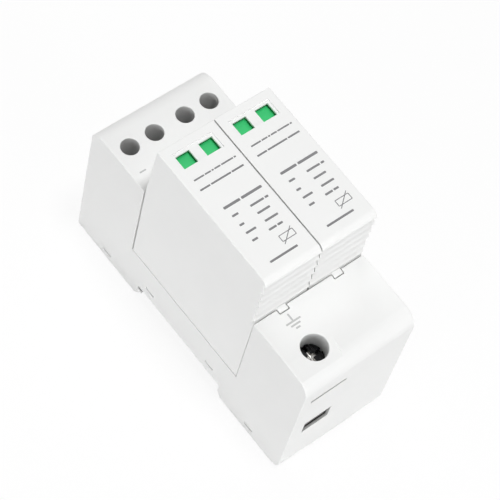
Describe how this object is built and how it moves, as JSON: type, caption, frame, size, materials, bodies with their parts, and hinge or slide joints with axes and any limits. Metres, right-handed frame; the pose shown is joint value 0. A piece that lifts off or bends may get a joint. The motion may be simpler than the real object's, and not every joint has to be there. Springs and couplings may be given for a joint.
{
  "type": "surge arrester",
  "caption": "Plug-in surge arrester for a mounting rail: a U-shaped base with screw terminals carries removable protection modules with status windows.",
  "frame": {"origin": "centre of the bounding box in plan, on the back plane that lies on the panel side", "axes": "+X across the poles, +Y to the line terminals, +Z to the front"},
  "size_m": [0.036, 0.09, 0.07],
  "materials": {
    "white_plastic": "satin moulded plastic",
    "steel": "zinc plated",
    "copper": "bare copper strip",
    "bronze": "spring bronze",
    "varistor_coat": "epoxy coat",
    "green_plastic": "coloured plastic",
    "red_plastic": "coloured plastic"
  },
  "bodies": {
    "base": {"base_housing": "white_plastic", "back_plate": "white_plastic", "rail_clip_spring": "steel", "line_bar_1": "copper", "line_bar_2": "copper", "line_fork_1": "bronze", "line_fork_2": "bronze", "earth_bar": "copper", "earth_fork_1": "bronze", "earth_fork_2": "bronze"},
    "clip": {"rail_clip": "white_plastic"},
    "earth_screw": {"earth_screw": "steel"},
    "earth_cage": {"earth_cage": "steel"},
    "line_screw_1": {"line_screw_1": "steel"},
    "line_cage_1": {"line_cage_1": "steel"},
    "line_screw_2": {"line_screw_2": "steel"},
    "line_cage_2": {"line_cage_2": "steel"},
    "line_screw_3": {"line_screw_3": "steel"},
    "line_cage_3": {"line_cage_3": "steel"},
    "line_screw_4": {"line_screw_4": "steel"},
    "line_cage_4": {"line_cage_4": "steel"},
    "module_1": {"module_shell_1": "white_plastic", "module_floor_1": "white_plastic", "line_blade_1": "copper", "earth_blade_1": "copper", "varistor_a_1": "varistor_coat", "varistor_b_1": "varistor_coat", "release_leaf_a_1": "bronze", "release_leaf_b_1": "bronze", "flag_spring_a_1": "steel", "flag_spring_b_1": "steel", "fault_marker_1": "red_plastic"},
    "flag_a_1": {"status_flag_a_1": "green_plastic"},
    "flag_b_1": {"status_flag_b_1": "green_plastic"},
    "module_2": {"module_shell_2": "white_plastic", "module_floor_2": "white_plastic", "line_blade_2": "copper", "earth_blade_2": "copper", "varistor_a_2": "varistor_coat", "varistor_b_2": "varistor_coat", "release_leaf_a_2": "bronze", "release_leaf_b_2": "bronze", "flag_spring_a_2": "steel", "flag_spring_b_2": "steel", "fault_marker_2": "red_plastic"},
    "flag_a_2": {"status_flag_a_2": "green_plastic"},
    "flag_b_2": {"status_flag_b_2": "green_plastic"}
  },
  "joints": [
    {"name": "clip_slide", "type": "slide", "parent": "base", "child": "clip", "axis": [0, -1, 0], "range_m": [0, 0.004], "stiffness_N_per_m": 1500, "springref_m": -0.002, "deforming": ["rail_clip_spring"]},
    {"name": "line_cage_1_climb", "type": "slide", "parent": "base", "child": "line_cage_1", "axis": [0, 0, 1], "range_m": [0, 0.005]},
    {"name": "line_screw_1_turn", "type": "hinge", "parent": "base", "child": "line_screw_1", "pos_m": [-0.013, 0.0356, 0.0367], "axis": [0, 0, -1], "range_deg": [0, 2572]},
    {"name": "line_cage_2_climb", "type": "slide", "parent": "base", "child": "line_cage_2", "axis": [0, 0, 1], "range_m": [0, 0.005]},
    {"name": "line_screw_2_turn", "type": "hinge", "parent": "base", "child": "line_screw_2", "pos_m": [-0.005, 0.0356, 0.0367], "axis": [0, 0, -1], "range_deg": [0, 2572]},
    {"name": "line_cage_3_climb", "type": "slide", "parent": "base", "child": "line_cage_3", "axis": [0, 0, 1], "range_m": [0, 0.005]},
    {"name": "line_screw_3_turn", "type": "hinge", "parent": "base", "child": "line_screw_3", "pos_m": [0.005, 0.0356, 0.0367], "axis": [0, 0, -1], "range_deg": [0, 2572]},
    {"name": "line_cage_4_climb", "type": "slide", "parent": "base", "child": "line_cage_4", "axis": [0, 0, 1], "range_m": [0, 0.005]},
    {"name": "line_screw_4_turn", "type": "hinge", "parent": "base", "child": "line_screw_4", "pos_m": [0.013, 0.0356, 0.0367], "axis": [0, 0, -1], "range_deg": [0, 2572]},
    {"name": "earth_cage_climb", "type": "slide", "parent": "base", "child": "earth_cage", "axis": [0, 0, 1], "range_m": [0, 0.005]},
    {"name": "earth_screw_turn", "type": "hinge", "parent": "base", "child": "earth_screw", "pos_m": [-0.009, -0.0362, 0.0405], "axis": [0, 0, -1], "range_deg": [0, 2250.5]},
    {"name": "module_1_pull", "type": "slide", "parent": "base", "child": "module_1", "axis": [0, 0, 1], "range_m": [0, 0.042]},
    {"name": "flag_a_1_slide", "type": "slide", "parent": "module_1", "child": "flag_a_1", "axis": [0, -1, 0], "range_m": [0, 0.005]},
    {"name": "flag_b_1_slide", "type": "slide", "parent": "module_1", "child": "flag_b_1", "axis": [0, -1, 0], "range_m": [0, 0.005]},
    {"name": "module_2_pull", "type": "slide", "parent": "base", "child": "module_2", "axis": [0, 0, 1], "range_m": [0, 0.042]},
    {"name": "flag_a_2_slide", "type": "slide", "parent": "module_2", "child": "flag_a_2", "axis": [0, -1, 0], "range_m": [0, 0.005]},
    {"name": "flag_b_2_slide", "type": "slide", "parent": "module_2", "child": "flag_b_2", "axis": [0, -1, 0], "range_m": [0, 0.005]}
  ],
  "couplings": [
    {"joint": "line_screw_1_turn", "follows": "line_cage_1_climb", "rad_per_m": 8976},
    {"joint": "line_screw_2_turn", "follows": "line_cage_2_climb", "rad_per_m": 8976},
    {"joint": "line_screw_3_turn", "follows": "line_cage_3_climb", "rad_per_m": 8976},
    {"joint": "line_screw_4_turn", "follows": "line_cage_4_climb", "rad_per_m": 8976},
    {"joint": "earth_screw_turn", "follows": "earth_cage_climb", "rad_per_m": 7854}
  ]
}
